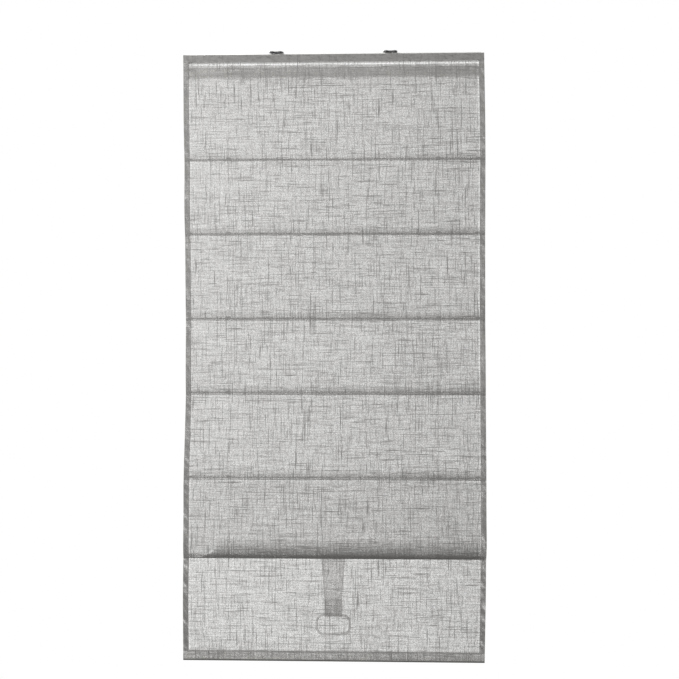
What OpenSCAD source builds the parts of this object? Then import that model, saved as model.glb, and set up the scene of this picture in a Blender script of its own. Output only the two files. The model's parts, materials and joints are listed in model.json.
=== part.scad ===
// Roman blind with rod pockets, a spring lift tube behind the cloth and a pull handle behind the skirt
// Origin: middle of the two bracket screw holes on the mounting plane, Z up, room side towards -Y

/* [Cloth] */
// Finished width of the cloth
blind_w = 800; // [600:1:1200]
// Thickness of one layer of cloth
cloth_t = 0.6; // [0.4:0.1:1]
// Drop from the mounting plane to the top edge of the cloth
head_drop = 9; // [8:0.5:10]
// Width of the turned side hems
side_hem_w = 14.5; // [10:0.5:24]
// Height of the taped top hem
top_hem_h = 20; // [19:0.5:22]
// Height of the bottom hem that holds the weight bar
bottom_hem_h = 26; // [24:0.5:36]
// Height of the head panel above the first rod
head_panel_h = 284; // [220:1:340]
// Height of the two shorter folds
short_fold_h = 198; // [160:1:240]
// Height of the two longer folds
long_fold_h = 226; // [160:1:260]
// Height of the fold above the lowest rod
last_fold_h = 209; // [160:1:260]
// Height of the skirt below the lowest rod
skirt_h = 273; // [250:1:340]
// How far an ordinary fold bellies towards the room
fold_belly = 4.5; // [0:0.5:10]
// How far the slack fold above the lowest rod bellies towards the room
slack_belly = 14; // [0:0.5:20]

/* [Rods] */
// Diameter of the cross rods
rod_d = 4; // [3:0.5:5]
// Wall of the soft tips on the rod ends
tip_wall = 0.5; // [0.4:0.1:1]
// Length of a rod tip
tip_l = 12; // [8:1:20]
// Distance from the seam to the middle of the rod
tuck_reach = 13; // [11:0.5:16]
// Upward angle of the rod pockets behind the cloth
tuck_tilt = 50; // [40:1:60]
// Clearance between a rod tip and its pocket
pocket_play = 0.3; // [0.2:0.05:0.6]
// Distance of the rod ends from the edges of the cloth
rod_inset = 10; // [5:1:20]

/* [Cords] */
// Distance of the lift cords from the edges of the cloth
cord_inset = 120; // [100:1:180]
// Diameter of a lift cord
cord_d = 1.4; // [1:0.1:2]
// Wall of the clips that hold the cord guides on the pockets
clip_wall = 1.6; // [1.2:0.1:2]
// Width of a cord guide
guide_w = 12; // [8:1:16]
// Radius of the hole in a cord guide
eyelet_r = 1.5; // [1.2:0.1:1.8]
// Height of a cord guide eyelet
eyelet_h = 7; // [5:0.5:9]
// Length of the barrels that hold the cord ends
anchor_l = 9; // [6:0.5:14]

/* [Head rail] */
// Depth of the head rail from front to back
rail_d = 32; // [30:0.5:40]
// Height of the head rail
rail_h = 20; // [18:0.5:22]
// Wall of the head rail
rail_t = 1.2; // [1:0.1:1.6]
// Width of the inward lips along the top of the head rail
lip_w = 4.5; // [4:0.1:5]
// Distance of each rail end from the edge of the cloth
rail_inset = 10; // [6:1:20]
// Thickness of the hook tape on the rail
hook_t = 1.1; // [0.8:0.1:1.6]
// Thickness of the loop tape on the hem
loop_t = 1; // [0.8:0.1:1.6]
// Height of both tapes
tape_h = 15; // [12:0.5:16]
// Thickness of the end plates
end_t = 2; // [1.5:0.1:3]
// Length of the plugs that hold the end plates in the rail
plug_l = 10; // [6:1:16]

/* [Lift tube] */
// Outer diameter of the lift tube
tube_d = 28; // [26:0.5:32]
// Wall of the lift tube
tube_t = 1.2; // [1:0.1:1.6]
// Drop from the head rail to the top of the lift tube
tube_gap = 11.2; // [8:0.2:16]
// Diameter of the spindle and of the idle pin
pin_d = 8; // [6:0.5:10]
// Running clearance round the pins
pin_play = 0.1; // [0.05:0.05:0.2]
// End play between the tube plugs and the end plates
end_play = 1; // [0.5:0.1:2]
// Length of the tube plugs
tube_plug_l = 30; // [20:1:40]
// Length of the lift spring
spring_l = 195; // [120:1:240]
// Outer diameter of the lift spring
spring_d = 19; // [17:0.5:21]
// Wall of the collars that hold the cords on the tube
collar_wall = 1.4; // [1:0.1:2]

/* [Brackets] */
// Distance of each bracket from the middle
bracket_x = 152; // [100:1:180]
// Width of a bracket
bracket_w = 38; // [36:1:50]
// Thickness of the bracket plate and its hook
plate_t = 1.5; // [1.2:0.1:2]
// Diameter of the screw holes
screw_d = 4.6; // [4:0.1:5]
// Thickness of the swivel levers
lever_t = 4; // [3:0.1:4.2]
// Gap above and below a swivel lever
lever_gap = 0.4; // [0.3:0.05:0.5]
// Radius of the two lobes of a lever
lobe_r = 5.5; // [4.5:0.5:5.5]
// Distance of each lobe from the middle of its lever
lobe_x = 11; // [9:0.5:11]
// Diameter of the rivet that a lever turns on
rivet_d = 3; // [2.5:0.1:3.4]

/* [Handle and bar] */
// Width of the pull strap at the lowest rod
strap_top_w = 65; // [52:1:80]
// Width of the pull strap at the ring
strap_w = 46; // [36:1:47]
// Thickness of the strap webbing
strap_t = 1; // [0.8:0.1:1.4]
// Drop from the lowest seam to the pull ring
strap_drop = 153; // [120:1:160]
// Height of the doubled end of the strap
strap_fold_h = 44; // [30:1:60]
// Width of the pull ring
ring_w = 95; // [90:1:110]
// Height of the pull ring
ring_h = 58; // [54:1:70]
// Diameter of the bar of the pull ring
ring_bar_d = 6.5; // [5:0.5:8]
// Outer corner radius of the pull ring
ring_corner_r = 23.5; // [18:0.5:24]
// Height of the weight bar
bar_h = 22; // [16:0.5:22]
// Thickness of the weight bar
bar_t = 3; // [2:0.1:4]
// Length of the weight bar's end caps
bar_cap_l = 6; // [4:0.5:10]

/* [Hidden] */
$fn = 48;
// clearance between soft things that stay apart
soft_gap = 0.3;
// height levels
rail_top = -(plate_t + lever_t + 2 * lever_gap);
rail_bottom = rail_top - rail_h;
lip_under = rail_top - rail_t;
cloth_top = -head_drop;
hem_z = cloth_top - top_hem_h;
fold_h = [short_fold_h, long_fold_h, short_fold_h, long_fold_h, last_fold_h];
rods = len(fold_h) + 1;
function below(k) = k == 0 ? 0 : fold_h[k - 1] + below(k - 1);
seam_z = [for (k = [0 : rods - 1]) cloth_top - head_panel_h - below(k)];
low_seam_z = seam_z[rods - 1];
bottom_z = low_seam_z - skirt_h;
bottom_hem_z = bottom_z + bottom_hem_h;
// depth levels
rail_front = -rail_d / 2;
rail_back = rail_d / 2;
rail_w = blind_w - 2 * rail_inset;
sheet_y = rail_front - hook_t - loop_t - 1.5 * cloth_t;
sheet_front = sheet_y - cloth_t / 2;
sheet_back = sheet_y + cloth_t / 2;
// rod pockets
tip_r = rod_d / 2 + tip_wall;
pocket_in_r = tip_r + pocket_play;
pocket_out_r = pocket_in_r + cloth_t;
tuck_set = 5 * cloth_t;
rod_y = sheet_y + tuck_reach * cos(tuck_tilt);
rod_rise = tuck_reach * sin(tuck_tilt) - tuck_set;
rod_l = blind_w - 2 * rod_inset;
// cord run
cord_x = blind_w / 2 - cord_inset;
clip_in_r = pocket_out_r + 0.1;
clip_out_r = clip_in_r + clip_wall;
eyelet_out_r = eyelet_r + 1.3;
cord_y = rod_y + clip_out_r + eyelet_r + 1;
low_rod_z = low_seam_z + rod_rise;
// lift tube
tube_r = tube_d / 2;
tube_in_r = tube_r - tube_t;
wind_r = tube_r + cord_d / 2 + soft_gap;
tube_y = cord_y + wind_r;
tube_z = rail_bottom - tube_gap - tube_r;
flange_t = 2;
tube_l = rail_w - 2 * (flange_t + end_play);
pin_r = pin_d / 2;
bore_r = pin_r + pin_play;
plug_end = rail_w / 2 - end_play - flange_t - tube_plug_l;
spring_end = plug_end - soft_gap;
carrier_end = spring_end - spring_l - soft_gap;
collar_w = 10;
wrap_w = 2 * cord_d;
wrap_x = cord_x + cord_d / 2 + soft_gap;
collar_x = wrap_x + wrap_w + soft_gap;
// bracket and swivel lever
lip_gap_y = rail_back - lip_w;
hook_y = lip_gap_y - 0.4 - plate_t;
hub_r = rivet_d / 2 + 1.7;
pivot_y = -lip_gap_y + hub_r + 0.7;
cam_reach = rail_back - rail_t - hub_r - 0.4 + pivot_y;
cam_t = 2;
cam_top = lip_under - lever_gap;
lobe_y = sheet_front - 1;
// pull handle
strap_front = rod_y + pocket_out_r;
strap_loop_r = ring_bar_d / 2 + soft_gap;
strap_out_r = strap_loop_r + strap_t;
ring_y = strap_front + strap_out_r;
ring_bar_z = low_seam_z - strap_drop;
strap_head_z = low_rod_z + pocket_out_r;
bar_r = ring_bar_d / 2;
turn_r = ring_corner_r - bar_r;
ring_half = ring_w / 2 - ring_corner_r;
ring_low_z = ring_bar_z - ring_h + ring_bar_d;
// weight bar
hem_depth = bar_t + 2 * soft_gap + 2 * cloth_t;
bar_y = sheet_front + hem_depth / 2;
bar_z = bottom_z + cloth_t;
bar_l = blind_w - 2 * (rod_inset + bar_cap_l);

// cross sections drawn in depth and height, then carried along the width
function unit(v) = v / norm(v);
function side(path, i) = let (
    a = path[max(i - 1, 0)],
    b = path[min(i + 1, len(path) - 1)],
    d = unit(b - a)
) [-d[1], d[0]];
function band(path, near, far) = concat(
    [for (i = [0 : len(path) - 1]) path[i] + near * side(path, i)],
    [for (i = [len(path) - 1 : -1 : 0]) path[i] + far * side(path, i)]
);
function fold(z0, z1, out, skew, n) = [
    for (i = [1 : n]) [sheet_y - out * sin(180 * pow(i / n, skew)), z0 + (z1 - z0) * i / n]
];
function fold_run(k) = k < 0
    ? fold(hem_z, seam_z[0], fold_belly, 1.6, 10)
    : concat(
        fold_run(k - 1),
        k < rods - 2
            ? fold(seam_z[k], seam_z[k + 1], fold_belly, 1.7, 10)
            : fold(seam_z[k], seam_z[k + 1] + 1, slack_belly, 3.4, 18)
    );
face_path = concat([[sheet_y, hem_z]], fold_run(rods - 2), [[sheet_y, low_seam_z]]);
skirt_path = concat(
    [[sheet_y, low_seam_z], [sheet_y, low_seam_z - 1]],
    fold(low_seam_z - 1, bottom_hem_z, 2.5, 0.7, 10)
);

module along_x(w) {
    translate([-w / 2, 0, 0])
        rotate([90, 0, 90])
            linear_extrude(w)
                children();
}

module bar_x(r, l) {
    rotate([0, 90, 0])
        cylinder(r = r, h = l, center = true);
}

module tube_x(r, hole, l) {
    difference() {
        bar_x(r, l);
        bar_x(hole, l + 2);
    }
}

module at_ends(x) {
    translate([-x, 0, 0])
        children();
    translate([x, 0, 0])
        children();
}

// cloth
module sheet(path) {
    along_x(blind_w)
        polygon(band(path, -cloth_t / 2, cloth_t / 2));
    at_ends(blind_w / 2 - side_hem_w / 2)
        along_x(side_hem_w)
            polygon(band(path, 0, 2.5 * cloth_t));
}

module pocket(k) {
    translate([0, rod_y, seam_z[k] + rod_rise])
        difference() {
            union() {
                bar_x(pocket_out_r, blind_w);
                rotate([tuck_tilt, 0, 0])
                    translate([-blind_w / 2, -tuck_reach, -cloth_t])
                        cube([blind_w, tuck_reach, 2 * cloth_t]);
            }
            bar_x(pocket_in_r, blind_w + 2);
        }
}

module face_cloth() {
    color([0.74, 0.73, 0.72])
        union() {
            sheet(face_path);
            translate([-blind_w / 2, sheet_front, hem_z])
                cube([blind_w, 2 * cloth_t, top_hem_h]);
            for (k = [0 : rods - 2])
                pocket(k);
        }
}

module skirt_cloth() {
    color([0.74, 0.73, 0.72])
        union() {
            sheet(skirt_path);
            pocket(rods - 1);
            translate([-blind_w / 2, sheet_front, bottom_z])
                difference() {
                    cube([blind_w, hem_depth, bottom_hem_h]);
                    translate([-1, cloth_t, cloth_t])
                        cube([blind_w + 2, hem_depth - 2 * cloth_t, bottom_hem_h - 2 * cloth_t]);
                }
        }
}

module hem_loop_tape() {
    color([0.78, 0.77, 0.75])
        translate([-rail_w / 2, rail_front - hook_t - loop_t, rail_bottom + 1])
            cube([rail_w, loop_t, tape_h]);
}

// rods and cord guides
module rod(k) {
    color([0.86, 0.86, 0.84])
        translate([0, rod_y, seam_z[k] + rod_rise])
            bar_x(rod_d / 2, rod_l - 2 * tip_wall);
}

module rod_tips(k) {
    color([0.3, 0.3, 0.31])
        translate([0, rod_y, seam_z[k] + rod_rise])
            difference() {
                at_ends(rod_l / 2 - tip_l / 2)
                    bar_x(tip_r, tip_l);
                bar_x(rod_d / 2, rod_l - 2 * tip_wall);
            }
}

module cord_guide() {
    difference() {
        union() {
            bar_x(clip_out_r, guide_w);
            translate([0, cord_y - rod_y, -eyelet_h / 2])
                cylinder(r = eyelet_out_r, h = eyelet_h);
        }
        bar_x(clip_in_r, guide_w + 2);
        translate([0, cord_y - rod_y, -eyelet_h])
            cylinder(r = eyelet_r, h = 2 * eyelet_h);
        rotate([tuck_tilt, 0, 0])
            translate([-guide_w, -2 * clip_out_r, -cloth_t - soft_gap])
                cube([2 * guide_w, 2 * clip_out_r, 2 * cloth_t + 2 * soft_gap]);
    }
}

module cord_guides(k) {
    color([0.9, 0.9, 0.88])
        translate([0, rod_y, seam_z[k] + rod_rise])
            at_ends(cord_x)
                cord_guide();
}

module rod_1() rod(0);
module rod_2() rod(1);
module rod_3() rod(2);
module rod_4() rod(3);
module rod_5() rod(4);
module rod_6() rod(5);
module rod_tips_1() rod_tips(0);
module rod_tips_2() rod_tips(1);
module rod_tips_3() rod_tips(2);
module rod_tips_4() rod_tips(3);
module rod_tips_5() rod_tips(4);
module rod_tips_6() rod_tips(5);
module cord_guides_1() cord_guides(0);
module cord_guides_2() cord_guides(1);
module cord_guides_3() cord_guides(2);
module cord_guides_4() cord_guides(3);
module cord_guides_5() cord_guides(4);
module cord_guides_6() cord_guides(5);

module cord_anchors() {
    color([0.9, 0.9, 0.88])
        translate([0, cord_y, low_rod_z - eyelet_h / 2 - anchor_l])
            at_ends(cord_x)
                cylinder(r = eyelet_out_r, h = anchor_l);
}

module lift_cord(s) {
    color([0.88, 0.87, 0.84])
        translate([s * cord_x, cord_y, low_rod_z - eyelet_h / 2])
            cylinder(d = cord_d, h = tube_z - low_rod_z + eyelet_h / 2);
}

module lift_cord_left() lift_cord(-1);
module lift_cord_right() lift_cord(1);

// head rail
module headrail() {
    color([0.85, 0.85, 0.84])
        along_x(rail_w)
            polygon([
                [rail_front, rail_bottom],
                [rail_back, rail_bottom],
                [rail_back, rail_top],
                [lip_gap_y, rail_top],
                [lip_gap_y, lip_under],
                [rail_back - rail_t, lip_under],
                [rail_back - rail_t, rail_bottom + rail_t],
                [rail_front + rail_t, rail_bottom + rail_t],
                [rail_front + rail_t, lip_under],
                [-lip_gap_y, lip_under],
                [-lip_gap_y, rail_top],
                [rail_front, rail_top]
            ]);
}

module rail_hook_tape() {
    color([0.93, 0.93, 0.92])
        translate([-rail_w / 2, rail_front - hook_t, rail_bottom + 1])
            cube([rail_w, hook_t, tape_h]);
}

module end_plate() {
    translate([rail_w / 2, rail_front, rail_bottom])
        cube([end_t, rail_d, rail_h]);
    translate([rail_w / 2, 0, 0])
        rotate([90, 0, 90])
            linear_extrude(end_t)
                polygon([
                    [rail_front + 2, rail_bottom + 1],
                    [tube_y - tube_r - 2, tube_z],
                    [tube_y + tube_r + 2, tube_z],
                    [rail_back, rail_bottom + 1]
                ]);
    translate([rail_w / 2 + end_t / 2, tube_y, tube_z])
        bar_x(tube_r + 2, end_t);
    translate([
        rail_w / 2 - plug_l,
        rail_front + rail_t + 0.2,
        rail_bottom + rail_t + 0.2
    ])
        cube([plug_l, rail_d - 2 * rail_t - 0.4, rail_h - 2 * rail_t - 0.4]);
}

module rail_end_left() {
    color([0.9, 0.9, 0.89])
        union() {
            mirror([1, 0, 0])
                end_plate();
            translate([-rail_w / 2 + tube_plug_l / 2 - 1, tube_y, tube_z])
                bar_x(pin_r, tube_plug_l);
        }
}

module rail_end_right() {
    color([0.9, 0.9, 0.89])
        difference() {
            end_plate();
            translate([rail_w / 2, tube_y, tube_z])
                bar_x(pin_r, 4 * end_t);
        }
}

// lift tube
module lift_tube() {
    color([0.8, 0.8, 0.8])
        translate([0, tube_y, tube_z])
            tube_x(tube_r, tube_in_r, tube_l);
}

module tube_plug() {
    difference() {
        union() {
            translate([plug_end + tube_plug_l / 2, 0, 0])
                bar_x(tube_in_r, tube_plug_l);
            translate([tube_l / 2 + flange_t / 2, 0, 0])
                bar_x(tube_r, flange_t);
        }
        translate([plug_end + tube_plug_l / 2, 0, 0])
            bar_x(bore_r, 2 * tube_plug_l);
    }
}

module idle_plug() {
    color([0.32, 0.32, 0.33])
        translate([0, tube_y, tube_z])
            mirror([1, 0, 0])
                tube_plug();
}

module bearing_plug() {
    color([0.32, 0.32, 0.33])
        translate([0, tube_y, tube_z])
            tube_plug();
}

module spring_carrier() {
    color([0.32, 0.32, 0.33])
        translate([carrier_end - tube_plug_l / 2, tube_y, tube_z])
            tube_x(tube_in_r, bore_r, tube_plug_l);
}

module spring_spindle() {
    color([0.6, 0.6, 0.61])
        translate([0, tube_y, tube_z])
            union() {
                translate([(rail_w / 2 + end_t + carrier_end - tube_plug_l) / 2, 0, 0])
                    bar_x(pin_r, rail_w / 2 + end_t - carrier_end + tube_plug_l);
            }
}

module lift_spring() {
    color([0.5, 0.5, 0.52])
        translate([spring_end - spring_l / 2, tube_y, tube_z])
            tube_x(spring_d / 2, pin_r, spring_l);
}

module cord_collar(s) {
    color([0.88, 0.88, 0.86])
        translate([s * (collar_x + collar_w / 2), tube_y, tube_z])
            tube_x(tube_r + collar_wall, tube_r, collar_w);
}

module cord_wraps(s) {
    color([0.88, 0.87, 0.84])
        translate([s * (wrap_x + wrap_w / 2), tube_y, tube_z])
            tube_x(tube_r + cord_d, tube_r, wrap_w);
}

module cord_collar_left() cord_collar(-1);
module cord_collar_right() cord_collar(1);
module cord_wraps_left() cord_wraps(-1);
module cord_wraps_right() cord_wraps(1);

// brackets
module bracket(s) {
    color([0.75, 0.75, 0.75])
        translate([s * bracket_x, 0, 0])
            difference() {
                union() {
                    translate([-bracket_w / 2, rail_front + 1, -plate_t])
                        cube([bracket_w, hook_y + plate_t - rail_front - 1, plate_t]);
                    translate([-bracket_w / 2, hook_y, cam_top - plate_t])
                        cube([bracket_w, plate_t, plate_t - cam_top]);
                    translate([-bracket_w / 2, hook_y, cam_top - plate_t])
                        cube([bracket_w, rail_back - rail_t - hook_y - 0.5, plate_t]);
                }
                translate([0, 0, -2 * plate_t])
                    cylinder(d = screw_d, h = 4 * plate_t);
                translate([0, pivot_y, -2 * plate_t])
                    cylinder(d = rivet_d, h = 4 * plate_t);
            }
}

module latch(s) {
    color([0.17, 0.17, 0.18])
        translate([s * bracket_x, pivot_y, 0])
            difference() {
                union() {
                    translate([0, 0, cam_top - cam_t])
                        cylinder(r = hub_r, h = cam_t - cam_top - plate_t - lever_gap);
                    translate([-hub_r, -cam_reach, cam_top - cam_t])
                        cube([2 * hub_r, cam_reach, cam_t]);
                    translate([0, -cam_reach, cam_top - cam_t])
                        cylinder(r = hub_r, h = cam_t);
                    translate([-hub_r, lobe_y - pivot_y, rail_top + lever_gap])
                        cube([2 * hub_r, pivot_y - lobe_y, lever_t]);
                    translate([-lobe_x, lobe_y - pivot_y - 1.5, rail_top + lever_gap])
                        cube([2 * lobe_x, 3, lever_t]);
                    at_ends(lobe_x)
                        translate([0, lobe_y - pivot_y, rail_top + lever_gap])
                            cylinder(r = lobe_r, h = lever_t);
                }
                translate([0, 0, cam_top - 2 * cam_t])
                    cylinder(d = rivet_d + 2 * pin_play, h = 4 * cam_t - cam_top);
            }
}

module latch_rivet(s) {
    color([0.7, 0.7, 0.7])
        translate([s * bracket_x, pivot_y, 0])
            union() {
                translate([0, 0, cam_top - cam_t - soft_gap - 1])
                    cylinder(d = rivet_d, h = cam_t + soft_gap + 1 - cam_top);
                translate([0, 0, cam_top - cam_t - soft_gap - 1])
                    cylinder(r = hub_r - 0.5, h = 1);
            }
}

module bracket_left() bracket(-1);
module bracket_right() bracket(1);
module latch_left() latch(-1);
module latch_right() latch(1);
module latch_rivet_left() latch_rivet(-1);
module latch_rivet_right() latch_rivet(1);

// weight bar
module bottom_bar() {
    color([0.82, 0.82, 0.82])
        translate([-bar_l / 2, bar_y - bar_t / 2, bar_z])
            cube([bar_l, bar_t, bar_h]);
}

module bar_cap(s) {
    color([0.92, 0.92, 0.9])
        translate([s * (bar_l + bar_cap_l) / 2, bar_y, bar_z])
            union() {
                translate([-bar_cap_l / 2, -bar_t / 2, 0])
                    cube([bar_cap_l, bar_t, bar_h]);
                translate([s * bar_cap_l / 2, 0, 0])
                    cylinder(d = bar_t, h = bar_h);
            }
}

module bar_cap_left() bar_cap(-1);
module bar_cap_right() bar_cap(1);

// pull handle
module pull_strap() {
    color([0.68, 0.67, 0.66])
        union() {
            translate([0, strap_front + strap_t, 0])
                rotate([90, 0, 0])
                    linear_extrude(strap_t)
                        polygon([
                            [-strap_w / 2, ring_bar_z],
                            [strap_w / 2, ring_bar_z],
                            [strap_w / 2, ring_bar_z + strap_fold_h],
                            [strap_top_w / 2, strap_head_z],
                            [-strap_top_w / 2, strap_head_z],
                            [-strap_w / 2, ring_bar_z + strap_fold_h]
                        ]);
            difference() {
                union() {
                    translate([0, ring_y, ring_bar_z])
                        bar_x(strap_out_r, strap_w);
                    translate([-strap_w / 2, strap_front, ring_bar_z])
                        cube([strap_w, 2 * strap_t, strap_fold_h]);
                }
                translate([0, ring_y, ring_bar_z])
                    bar_x(strap_loop_r, strap_w + 2);
            }
        }
}

module ring_turn() {
    rotate([90, 0, 0])
        rotate_extrude(angle = 90)
            translate([turn_r, 0])
                circle(r = bar_r);
}

module ring_side(z0, z1) {
    translate([0, 0, z0])
        cylinder(r = bar_r, h = z1 - z0);
}

module pull_ring() {
    color([0.72, 0.71, 0.7])
        translate([0, ring_y, 0])
            union() {
                translate([0, 0, ring_bar_z])
                    bar_x(bar_r, 2 * ring_half);
                translate([0, 0, ring_low_z])
                    bar_x(bar_r, 2 * ring_half);
                at_ends(ring_half + turn_r)
                    ring_side(ring_low_z + turn_r, ring_bar_z - turn_r);
                translate([ring_half, 0, ring_bar_z - turn_r])
                    ring_turn();
                translate([-ring_half, 0, ring_bar_z - turn_r])
                    rotate([0, -90, 0])
                        ring_turn();
                translate([-ring_half, 0, ring_low_z + turn_r])
                    rotate([0, 180, 0])
                        ring_turn();
                translate([ring_half, 0, ring_low_z + turn_r])
                    rotate([0, 90, 0])
                        ring_turn();
            }
}

headrail();
rail_end_left();
rail_end_right();
rail_hook_tape();
hem_loop_tape();
bracket_left();
bracket_right();
latch_left();
latch_right();
latch_rivet_left();
latch_rivet_right();
lift_tube();
idle_plug();
bearing_plug();
spring_carrier();
spring_spindle();
lift_spring();
cord_collar_left();
cord_collar_right();
cord_wraps_left();
cord_wraps_right();
lift_cord_left();
lift_cord_right();
face_cloth();
rod_1();
rod_2();
rod_3();
rod_4();
rod_5();
rod_6();
rod_tips_1();
rod_tips_2();
rod_tips_3();
rod_tips_4();
rod_tips_5();
rod_tips_6();
cord_guides_1();
cord_guides_2();
cord_guides_3();
cord_guides_4();
cord_guides_5();
cord_guides_6();
cord_anchors();
skirt_cloth();
bottom_bar();
bar_cap_left();
bar_cap_right();
pull_strap();
pull_ring();
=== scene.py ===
"""Dresses the roman blind: linen cloth with sewn rod pockets, lift gear, head rail and pull handle."""

import json
import logging
import math
from dataclasses import dataclass, field
from enum import Enum
from functools import cached_property
from typing import Callable, Sequence

import bpy
import numpy as np
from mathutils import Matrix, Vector, noise

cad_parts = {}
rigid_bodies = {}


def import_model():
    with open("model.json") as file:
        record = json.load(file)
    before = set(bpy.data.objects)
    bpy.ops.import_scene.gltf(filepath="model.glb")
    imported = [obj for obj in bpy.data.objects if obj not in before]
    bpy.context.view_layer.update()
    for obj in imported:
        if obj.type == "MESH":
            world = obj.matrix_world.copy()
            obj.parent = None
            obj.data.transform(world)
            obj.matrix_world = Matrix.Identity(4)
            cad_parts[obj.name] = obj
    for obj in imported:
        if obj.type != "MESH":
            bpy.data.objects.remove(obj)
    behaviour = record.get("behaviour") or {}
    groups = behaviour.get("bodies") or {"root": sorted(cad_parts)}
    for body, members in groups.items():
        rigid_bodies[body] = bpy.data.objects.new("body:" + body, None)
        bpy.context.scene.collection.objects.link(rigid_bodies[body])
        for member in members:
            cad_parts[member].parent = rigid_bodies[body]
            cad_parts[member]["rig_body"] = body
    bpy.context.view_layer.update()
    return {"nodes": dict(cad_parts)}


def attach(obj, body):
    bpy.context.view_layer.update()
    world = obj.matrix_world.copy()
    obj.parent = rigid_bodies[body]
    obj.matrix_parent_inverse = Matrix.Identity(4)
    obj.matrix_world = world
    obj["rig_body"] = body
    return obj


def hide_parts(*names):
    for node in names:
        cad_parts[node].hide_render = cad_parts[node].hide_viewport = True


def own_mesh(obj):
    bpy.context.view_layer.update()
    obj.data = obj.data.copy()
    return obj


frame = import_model()
LOG = logging.getLogger("roman_blind")
Grid = np.ndarray
Path = Sequence[Sequence[float]]
Depth = Callable[[float, float], float]
Place = tuple[float, float, float]
Colour = tuple[float, float, float]
Socket = bpy.types.NodeSocket


class Body(str, Enum):
    """The moving groups that pieces ride on."""

    HEAD = "head"
    TUBE = "tube"
    LOWEST = "lowest_line"


class Side(float, Enum):
    """The two ends of the blind, as seen from the room."""

    LEFT = -1.0
    RIGHT = 1.0


@dataclass(frozen=True)
class BlindSizes:
    """Sizes of the blind in metres, as in its construction."""

    width: float = 0.8
    cloth: float = 0.0006
    top: float = -0.009
    top_hem: float = 0.020
    bottom_hem: float = 0.026
    side_hem: float = 0.0145
    panels: tuple[float, ...] = (0.284, 0.198, 0.226, 0.198, 0.226, 0.209)
    skirt: float = 0.273
    sheet_y: float = -0.019
    belly: float = 0.0045
    slack: float = 0.014
    tuck: float = 0.013
    tuck_tilt: float = 50.0
    tuck_set: float = 0.003
    pocket_r: float = 0.0031
    raised_first: float = -0.084
    raised_keep: float = 0.12

    @property
    def half(self) -> float:
        """Half the width."""
        return self.width / 2

    @property
    def hem_z(self) -> float:
        """Height of the lower edge of the top hem."""
        return self.top - self.top_hem

    def seam(self, k: int) -> float:
        """Gives the height of seam k from the top, 1 to 6, or of the lower edge of the top hem for 0."""
        return self.hem_z if k == 0 else self.top - sum(self.panels[:k])

    @property
    def bottom(self) -> float:
        """Height of the lower edge of the skirt."""
        return self.seam(6) - self.skirt

    @property
    def rod_y(self) -> float:
        """Depth of the rods."""
        return self.sheet_y + self.tuck * math.cos(math.radians(self.tuck_tilt))

    @property
    def rod_rise(self) -> float:
        """Height of a rod above its seam."""
        return self.tuck * math.sin(math.radians(self.tuck_tilt)) - self.tuck_set


SIZES = BlindSizes()


def clamp(value: float) -> float:
    """Keeps a value from 0 to 1."""
    return min(max(value, 0.0), 1.0)


def peak(distance: float, reach: float) -> float:
    """Gives 1 at no distance, falling evenly to 0 at the reach on either side."""
    return max(0.0, 1.0 - abs(distance) / reach)


def no_depth(x: float, z: float) -> float:
    """Gives the extra depth of cloth that lies flat, none at any place."""
    return 0.0


def runs_of(path: Path) -> np.ndarray:
    """Gives the length along a path up to each of its points."""
    return np.cumsum([0.0, *(math.dist(a, b) for a, b in zip(path, path[1:]))])


def pick(piece: bpy.types.Object) -> None:
    """Selects a piece alone, for the next operation.

    Args:
        piece: Piece to select.
    """
    bpy.ops.object.select_all(action="DESELECT")
    piece.select_set(True)
    bpy.context.view_layer.objects.active = piece


class NodeKit:
    """Adds and links shader nodes in one tree."""

    def __init__(self, tree: bpy.types.NodeTree) -> None:
        """Keeps the tree of a material, world or group that nodes go into."""
        self.tree = tree

    def add(self, kind: str, values: dict | None = None, **settings: object) -> bpy.types.Node:
        """Adds a node.

        Args:
            kind: Node type without its ShaderNode prefix.
            values: Input values or sockets to link, by input name or number.
            **settings: Attributes of the node.

        Returns:
            The new node.
        """
        node = self.tree.nodes.new("ShaderNode" + kind)
        for key, value in settings.items():
            setattr(node, key, value)
        for key, value in (values or {}).items():
            socket = node.inputs[key]
            if isinstance(value, bpy.types.NodeSocket):
                self.tree.links.new(value, socket)
            else:
                socket.default_value = value
        return node

    def feed(self, node: bpy.types.Node, **values: Socket) -> None:
        """Links sockets to a node's inputs, whose names have _ for a space here."""
        for name, value in values.items():
            self.tree.links.new(value, node.inputs[name.replace("_", " ")])

    def math(self, operation: str, a: object, b: object = 0.0, clamped: bool = False) -> Socket:
        """Adds a maths node on two numbers or sockets, kept from 0 to 1 if clamped."""
        return self.add("Math", {0: a, 1: b}, operation=operation, use_clamp=clamped).outputs[0]

    def span(self, value: Socket, low: float, high: float, to_low: float = 0.0,
             to_high: float = 1.0) -> Socket:
        """Maps the span from low to high onto the span from to_low to to_high."""
        return self.add("MapRange", {"Value": value, "From Min": low, "From Max": high,
                                     "To Min": to_low, "To Max": to_high}).outputs[0]

    def noise(self, vector: Socket, scale: Sequence[float], detail: float = 2.0,
              rough: float = 0.5) -> Socket:
        """Adds a noise on a coordinate, drawn out along an axis where the scale is less."""
        return self.add("TexNoise", {"Vector": self.scaled(vector, scale), "Scale": 1.0, "Detail": detail,
                                     "Roughness": rough}).outputs[0]

    def scaled(self, vector: Socket, scale: Sequence[float]) -> Socket:
        """Scales a coordinate along its axes."""
        return self.add("Mapping", {"Vector": vector, "Scale": scale}).outputs[0]

    def blend(self, factor: Socket, a: object, b: object) -> Socket:
        """Mixes two colours, by the share of the second."""
        return self.add("Mix", {0: factor, 6: a, 7: b}, data_type="RGBA").outputs[2]


@dataclass(frozen=True)
class ThreadRun:
    """The threads of one direction: how many to a metre, how uneven, and which of them show how much."""

    count: float
    change: float
    thin: float = 0.0
    thick: float = 1.0
    strength: float = 1.0


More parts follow.
